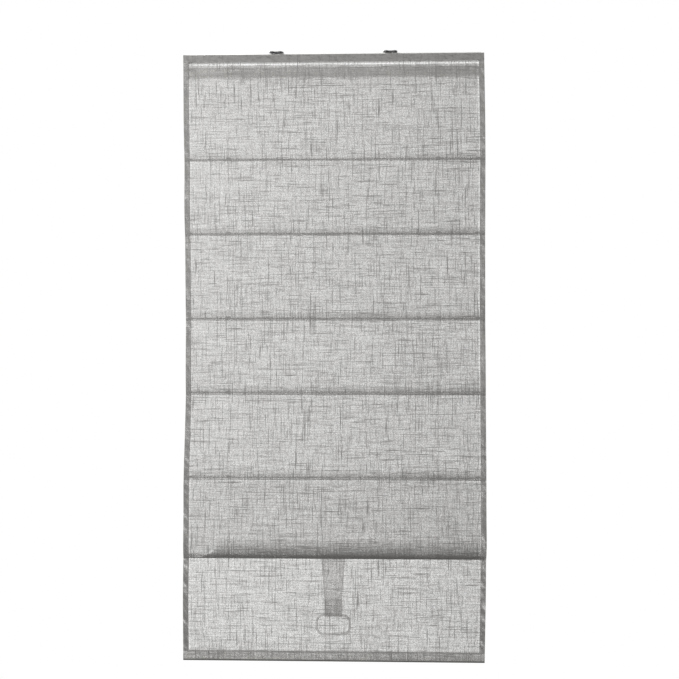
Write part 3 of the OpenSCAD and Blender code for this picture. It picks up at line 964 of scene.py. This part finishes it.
        # The pockets use the lighter, painted-light copy of the linen.
        mesh = ClothMesh(f"rod_pocket_{k}", [self.finishes.tuck])
        grid, uv = self._grid(path, np.linspace(-SIZES.half, SIZES.half, 41), z + 0.011)
        mesh.shell(grid, uv, t - 0.00004)
        body, node = (f"rod_line_{k}", "face_cloth") if k < 6 else (Body.LOWEST.value, "skirt_cloth")
        piece = mesh.fit(body, node, "cloth")

    def _hem_path(self) -> list[tuple[float, float]]:
        """Gives the way of the bottom hem round the weight bar.

        Returns:
            Depth and height of each row, from the skirt down, round the bar and up to the seam of the hem.
        """
        t, y, deep = SIZES.cloth, SIZES.sheet_y, self.bar_depth
        hem_top, low = SIZES.bottom + SIZES.bottom_hem, SIZES.bottom + SIZES.cloth / 2
        heights = (hem_top - 0.0012, hem_top - 0.003, (hem_top + low) / 2, low + 0.0052, low + 0.0012)
        path = [(y, z) for z in heights]
        path += [(y + 0.0004, low + 0.0004), (y + 0.0012, low), (y + deep - 0.0012, low),
                 (y + deep - 0.0004, low + 0.0004)]
        path += [(y + deep, low + 0.0012 + (hem_top - t - low - 0.0016) * s / 5) for s in range(6)]
        path += [(y + across, hem_top - t / 2) for across in (deep - 0.0006, deep / 2, t + 0.0001)]
        return path

    def _skirt(self) -> None:
        """Builds the skirt with the bottom hem turned round the weight bar."""
        z0, hem_top = SIZES.seam(6), SIZES.bottom + SIZES.bottom_hem
        rows = int((z0 - hem_top) / self.row)
        fall = [(SIZES.sheet_y, z0 + (hem_top - z0) * r / rows) for r in range(rows + 1)]

        def drape(x: float, z: float) -> float:
            """Gives the depth of the skirt at a height, none in the hem."""
            return Hang.depth(x, z, (z0 - z) / (z0 - hem_top), self.skirt_belly, self.skirt_skew)

        path, edge = fall + self._hem_path(), len(fall)
        mesh = self._mesh("cloth_skirt")
        # Painted shade lines at the top of the bottom hem and round its turned lower edge.
        hem_turn_shade = {edge - 1: 0.7, edge: 0.8, edge + 4: 2.2, edge + 5: 2.2, edge + 6: 1.2}
        fold = np.array([[hem_turn_shade.get(r, 0.0) + Hang.gather(Hang.SKIRT, x, 1.0, z0 - z) * (r < edge)
                          for x in self._columns()] for r, (_, z) in enumerate(path)])
        mesh.shell(*self._grid(path, self._columns(), z0, drape), SIZES.cloth, fold=fold)
        self._side_hems(mesh, fall, z0, drape)
        self._sew_across(mesh, hem_top - 0.0016, -self.hem_half, self.hem_half)
        self._sew_sides(mesh, z0, hem_top + 0.002, drape)
        piece = mesh.fit(Body.LOWEST.value, "skirt_cloth", "cloth")


@dataclass
class SoftFittings:
    """The pull strap, the lift cords, the cord left on the tube and the two tapes of the head."""

    finishes: Finishes
    cord_x: float = 0.280
    cord_y: float = -0.003044
    cord_r: float = 0.0007
    cord_steps: int = 60
    tube_y: float = 0.011956
    tube_z: float = -0.0515
    tube_r: float = 0.014
    cord_low: float = -1.34654
    cord_keep: float = 0.12034
    wrap_x: float = 0.2817
    wrap_turns: float = 2.0
    wrap_steps: int = 96
    strap_y: float = -0.006744
    strap_top: float = -1.3396
    strap_top_w: float = 0.065
    strap_w: float = 0.046
    strap_mean_w: float = 0.052
    strap_t: float = 0.001
    strap_fold: float = 0.044
    strap_columns: int = 13
    strap_stitch: float = 0.0036
    ring_y: float = -0.002694
    ring_z: float = -1.503
    tape_w: float = 0.78
    tape_z: tuple[float, float] = (-0.0253, -0.0103)

    def build(self) -> None:
        """Builds every soft fitting."""
        self._tape("hook_tape", "rail_hook_tape", -0.01655, 0.00108)
        self._tape("loop_tape", "hem_loop_tape", -0.01760, 0.00098)
        for side in Side:
            self._cord(side)
            self._wraps(side)
        self._strap()

    def _tape(self, name: str, node: str, y: float, thickness: float) -> None:
        """Builds one half of the hook and loop tape.

        Args:
            name: Name of the piece.
            node: Constructed piece that it stands for.
            y: Depth of its middle.
            thickness: Thickness of the tape.
        """
        low, high = self.tape_z
        xs = np.linspace(-self.tape_w / 2, self.tape_w / 2, 79)
        grid = np.array([[(x, y, z) for x in xs] for z in np.linspace(high, low, 6)])
        mesh = ClothMesh(name, [self.finishes.tape])
        mesh.shell(grid, grid[:, :, (0, 2)], thickness)
        piece = mesh.fit(Body.HEAD.value, node, "tape")

    def _rope(self, name: str, path: Sequence[Vector], sides: int = 8) -> ClothMesh:
        """Makes the mesh of a round cord along a path.

        Args:
            name: Name of the piece.
            path: Points along the middle of the cord.
            sides: Sides of the cord.

        Returns:
            The cord's mesh.
        """
        angles = [2 * math.pi * s / sides for s in range(sides)]
        rings = []
        for i, point in enumerate(path):
            ahead = (path[min(i + 1, len(path) - 1)] - path[max(i - 1, 0)]).normalized()
            guide = Vector((0.13, 0.21, 0.97) if abs(ahead.z) < 0.8 else (1.0, 0.0, 0.0))
            side = ahead.cross(guide).normalized()
            other = ahead.cross(side)
            rings.append([point + self.cord_r * (math.cos(a) * side + math.sin(a) * other) for a in angles])
        mesh = ClothMesh(name, [self.finishes.cord])
        mesh.tube(rings, runs_of(path), self.cord_r)
        return mesh

    def _cord(self, side: Side) -> None:
        """Builds a lift cord from the tube to its barrel.

        Args:
            side: End of the blind.
        """
        x = side.value * self.cord_x
        step = (self.cord_low - self.tube_z) / self.cord_steps
        path = [Vector((x, self.cord_y, self.tube_z + step * i)) for i in range(self.cord_steps + 1)]
        node = "lift_cord_" + side.name.lower()
        piece = self._rope(f"clear_{node}", path).fit(Body.HEAD.value, node, "cord")
        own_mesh(piece)

    def _wraps(self, side: Side) -> None:
        """Builds the turns of cord that stay on the tube.

        Args:
            side: End of the blind.
        """
        r = self.tube_r + self.cord_r
        path = []
        for share in (i / self.wrap_steps for i in range(self.wrap_steps + 1)):
            a = math.pi + 2 * math.pi * self.wrap_turns * share
            x = side.value * (self.wrap_x + 2 * self.cord_r * share * (self.wrap_turns - 1.0))
            path.append(Vector((x, self.tube_y + r * math.cos(a), self.tube_z + r * math.sin(a))))
        node = "cord_wraps_" + side.name.lower()
        self._rope(f"wound_{node}", path, 6).fit(Body.TUBE.value, node, "cord")

    def _strap(self) -> None:
        """Builds the pull strap, looped round the top of the ring."""
        r = self.ring_y - self.strap_y
        fold_z, loop_z = self.ring_z + self.strap_fold, self.ring_z + r
        path = [(self.strap_y, self.strap_top + (self.ring_z - self.strap_top) * s / 32) for s in range(33)]
        front = len(path)
        path += [(self.ring_y + r * math.cos(a), self.ring_z + r * math.sin(a))
                 for a in (math.pi + 1.5 * math.pi * s / 18 for s in range(1, 19))]
        back = self.strap_y + 1.04 * self.strap_t
        path += [(back + 0.0012, loop_z + 0.0002), (back + 0.0002, loop_z + 0.0014)]
        path += [(back, loop_z + 0.003 + (fold_z - loop_z - 0.003) * s / 8) for s in range(9)]
        cols, runs = self.strap_columns, runs_of(path)
        flares = [max(0.0, (z - fold_z) / (self.strap_top - fold_z)) for _, z in path[:front]]
        flares += [0.0] * (len(path) - front)
        widths = [self.strap_w + (self.strap_top_w - self.strap_w) * flare for flare in flares]
        across = [width * (np.arange(cols) / (cols - 1) - 0.5) for width in widths]
        grid = np.array([[(x, y, z) for x in xs] for xs, (y, z) in zip(across, path)])
        uv = np.array([[(x, -run) for x in xs] for xs, run in zip(across, runs)])
        mesh = ClothMesh("sheer_pull_strap", [self.finishes.strap, self.finishes.thread])
        edge = np.zeros(cols)
        edge[[0, -1]], edge[[1, -2]] = 0.55, 0.1
        mesh.shell(grid, uv, self.strap_t, fold=np.tile(edge, (len(path), 1)))
        self._sew_box(mesh, back + self.strap_t / 2, loop_z + 0.006, fold_z - 0.003)
        piece = mesh.fit(Body.LOWEST.value, "pull_strap", "strap_webbing")

    def _sew_box(self, mesh: ClothMesh, y: float, low: float, high: float) -> None:
        """Sews the strap's turned end down with a box of stitches on its back.

        Args:
            mesh: Strap to sew, whose second material is the thread.
            y: Depth of the strap's back.
            low: Height of the lower row.
            high: Height of the upper row.
        """
        half, step, out = self.strap_w / 2 - 0.003, self.strap_stitch, Vector((0.0, 1.0, 0.0))
        for z in (low, high):
            mesh.row([Vector((x, y, z)) for x in np.arange(-half, half + 0.001, step)], out, 1)
        for x in (-half, half):
            mesh.row([Vector((x, y, z)) for z in np.arange(low, high + 0.001, step)], out, 1)


@dataclass(frozen=True)
class Lamp:
    """A soft square lamp that is not itself seen."""

    name: str
    at: Place
    to: Place
    size: float
    power: float
    on_floor: bool = False

    def hang(self) -> bpy.types.Object:
        """Hangs the lamp in its place.

        Returns:
            The lamp.
        """
        data = bpy.data.lights.new(self.name, "AREA")
        data.shape = "SQUARE"
        data.size = self.size
        data.energy = self.power
        lamp = bpy.data.objects.new(self.name, data)
        bpy.context.scene.collection.objects.link(lamp)
        lamp.location = self.at
        lamp.rotation_euler = (Vector(self.to) - Vector(self.at)).to_track_quat("-Z", "Y").to_euler()
        lamp.visible_camera = False
        return lamp


@dataclass
class Studio:
    """The floor, the light and the camera."""

    distance: float = 3.3
    turn: float = 2.2
    aim: Place = (0.0172, -0.019, -0.7675)
    span: float = 1.803
    sensor: float = 36.0
    floor_at: Place = (0.0, -3.9, -2.36)
    floor_size: Place = (14.0, 12.2, 1.0)
    floor_glow: float = 0.68
    soft_light: float = 0.30
    lamps: tuple[Lamp, ...] = (
        Lamp("key_lamp", (-2.4, -2.0, 1.0), (0.0, 0.0, -0.8), 1.8, 165.0, True),
        Lamp("fill_lamp", (0.2, -3.6, -1.3), (0.0, 0.0, -1.2), 2.0, 42.0),
        Lamp("window_lamp", (0.0, 1.4, -1.9), (0.0, 0.0, -0.05), 1.6, 40.0),
    )

    def build(self) -> None:
        """Sets up the whole stage, with the low lamps kept off the floor."""
        unlit = bpy.data.collections.new("not_lit_by_low_lamps")
        unlit.objects.link(self._floor())
        unlit.collection_objects[0].light_linking.link_state = "EXCLUDE"
        self._world()
        for lamp in self.lamps:
            hung = lamp.hang()
            if not lamp.on_floor:
                hung.light_linking.receiver_collection = unlit
        self._camera()
        bpy.context.scene.view_settings.view_transform = "Standard"

    def _floor(self) -> bpy.types.Object:
        """Lays the pale floor.

        Returns:
            The floor.
        """
        bpy.ops.object.select_all(action="DESELECT")
        bpy.ops.mesh.primitive_plane_add(size=1.0, location=self.floor_at)
        floor = bpy.context.object
        floor.name = "studio_floor"
        floor.scale = self.floor_size
        bpy.ops.object.transform_apply(location=True, rotation=False, scale=True)
        material, kit, shader = start_material("pale_floor")
        mottle = kit.noise(kit.add("TexCoord").outputs["Object"], (1.5, 1.5, 1.5))
        base = kit.blend(mottle, (0.42, 0.42, 0.415, 1.0), (0.46, 0.46, 0.455, 1.0))
        seen = kit.add("LightPath").outputs["Is Camera Ray"]
        kit.feed(shader, Base_Color=base, Emission_Strength=kit.math("MULTIPLY", seen, self.floor_glow))
        shader.inputs["Roughness"].default_value = 0.9
        shader.inputs["Emission Color"].default_value = (1.0, 1.0, 0.995, 1.0)
        floor.data.materials.append(material)
        return floor

    def _world(self) -> None:
        """Makes a white background and a soft light from all round."""
        world = bpy.data.worlds.new("studio")
        bpy.context.scene.world = world
        world.use_nodes = True
        kit = NodeKit(world.node_tree)
        world.node_tree.nodes.clear()
        path = kit.add("LightPath").outputs
        seen = kit.math("MAXIMUM", path["Is Camera Ray"], path["Is Glossy Ray"])
        seen = kit.math("MAXIMUM", seen, path["Is Transmission Ray"])
        soft = kit.add("Background", {"Color": (1.0, 0.995, 0.985, 1.0), "Strength": self.soft_light})
        white = kit.add("Background", {"Color": (1.0, 1.0, 1.0, 1.0), "Strength": 1.0})
        mix = kit.add("MixShader", {0: seen, 1: soft.outputs[0], 2: white.outputs[0]})
        kit.add("OutputWorld", {"Surface": mix.outputs[0]})

    def _camera(self) -> None:
        """Sets the level camera slightly to the right of the blind."""
        data = bpy.data.cameras.new("camera")
        data.sensor_width = self.sensor
        data.lens = self.sensor * self.distance / self.span
        camera = bpy.data.objects.new("camera", data)
        bpy.context.scene.collection.objects.link(camera)
        a, aim = math.radians(self.turn), Vector(self.aim)
        camera.location = aim + self.distance * Vector((math.sin(a), -math.cos(a), 0.0))
        camera.rotation_euler = (aim - camera.location).to_track_quat("-Z", "Y").to_euler()
        bpy.context.scene.camera = camera


class Recess(Enum):
    """Where a moulded or pressed piece has a shallow sunk panel."""

    NONE = (0.0, 0.0, 0.0)
    LEFT = (-1.0, 0.0, 0.0)
    RIGHT = (1.0, 0.0, 0.0)
    BACK = (0.0, 1.0, 0.0)


@dataclass(frozen=True)
class EdgeWork:
    """How the edges of a constructed piece are finished."""

    width: float
    recess: Recess = Recess.NONE
    margin: float = 0.0025
    sink: float = 0.0005


@dataclass
class HardParts:
    """The rail, lift gear, rods and fittings, dressed and with their edges broken."""

    finishes: Finishes
    rail_edge: float = 0.0004
    plate_edge: float = 0.0003
    moulded_edge: float = 0.0006

    def build(self) -> None:
        """Gives every constructed piece its finish, and the moulded and pressed ones their edges."""
        f = self.finishes
        finish_of = {
            "headrail": f.lacquer, "lift_tube": f.tube, "bottom_bar": f.lacquer, "pull_ring": f.ring,
            "bracket": f.zinc, "latch_rivet": f.zinc, "latch": f.black, "rail_end": f.white,
            "idle_plug": f.grey, "bearing_plug": f.grey, "spring_carrier": f.grey, "spring_spindle": f.steel,
            "lift_spring": f.steel, "cord_collar": f.white, "rod_tips": f.white, "rod": f.rod,
            "cord_guides": f.clear, "cord_anchors": f.clear, "bar_cap": f.white,
        }
        for name, node in frame["nodes"].items():
            keys = [key for key in finish_of if name.startswith(key)]
            if keys:
                node.data.materials.clear()
                node.data.materials.append(finish_of[max(keys, key=len)])
        for name, work in self._edge_work().items():
            self._finish_edges(name, work)

    def _edge_work(self) -> dict[str, EdgeWork]:
        """Gives the edge finish of each piece that has one.

        Returns:
            Edge finish by the name of the constructed piece.
        """
        work = {"headrail": EdgeWork(self.rail_edge, Recess.BACK, 0.003, 0.0004)}
        for side in Side:
            end = side.name.lower()
            work[f"rail_end_{end}"] = EdgeWork(self.moulded_edge, Recess[side.name])
            for kind, width in (("bar_cap", self.moulded_edge), ("bracket", self.plate_edge),
                                ("latch", self.moulded_edge), ("latch_rivet", self.plate_edge),
                                ("cord_collar", self.moulded_edge)):
                work[f"{kind}_{end}"] = EdgeWork(width)
        work["bottom_bar"] = EdgeWork(self.plate_edge)
        return work

    def _finish_edges(self, name: str, work: EdgeWork) -> None:
        """Makes a copy of a constructed piece with broken edges, and a sunk panel where its work names a
        recess, which stands for it.

        Args:
            name: Name of the constructed piece.
            work: How its edges are finished.
        """
        node = frame["nodes"][name]
        pick(node)
        bpy.ops.object.duplicate()
        piece = bpy.context.object
        piece.name = f"finished_{name}"
        piece.parent = None
        for key in [key for key in piece.keys() if key.startswith("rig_")]:
            del piece[key]
        bpy.ops.object.mode_set(mode="EDIT")
        bpy.ops.mesh.select_all(action="SELECT")
        bpy.ops.mesh.remove_doubles(threshold=0.000002)
        bpy.ops.mesh.dissolve_limited(angle_limit=math.radians(1.0))
        bpy.ops.mesh.select_all(action="DESELECT")
        bpy.ops.object.mode_set(mode="OBJECT")
        if work.recess is not Recess.NONE:
            self._sink_panel(piece, work)
        edge = piece.modifiers.new("broken_edge", "BEVEL")
        edge.width, edge.segments = work.width, 2
        edge.limit_method, edge.angle_limit = "ANGLE", math.radians(40.0)
        bpy.ops.object.modifier_apply(modifier=edge.name)
        bpy.ops.object.shade_smooth_by_angle(angle=math.radians(32.0))
        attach(piece, node["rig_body"])
        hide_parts(name)
        LOG.info("finished the edges of %s", name)

    @staticmethod
    def _sink_panel(piece: bpy.types.Object, work: EdgeWork) -> None:
        """Sinks a shallow panel into the outermost face on one side.

        Args:
            piece: Piece to work on, in object mode.
            work: Side, margin and depth of the panel.
        """
        out = Vector(work.recess.value)
        faces = [f for f in piece.data.polygons if f.normal.dot(out) > 0.99]
        reach = max(f.center.dot(out) for f in faces)
        best = max((f for f in faces if f.center.dot(out) > reach - 0.0001), key=lambda f: f.area)
        best.select = True
        bpy.ops.object.mode_set(mode="EDIT")
        bpy.ops.mesh.select_mode(type="FACE")
        bpy.ops.mesh.inset(thickness=work.margin, depth=-work.sink)
        bpy.ops.mesh.select_all(action="DESELECT")
        bpy.ops.object.mode_set(mode="OBJECT")


def main() -> None:
    """Builds the blind and its stage."""
    logging.basicConfig(level=logging.INFO, format="%(name)s: %(message)s")
    finishes = Finishes()
    Studio().build()
    HardParts(finishes).build()
    FaceCloth(finishes).build()
    SoftFittings(finishes).build()


if __name__ == "__main__":
    main()
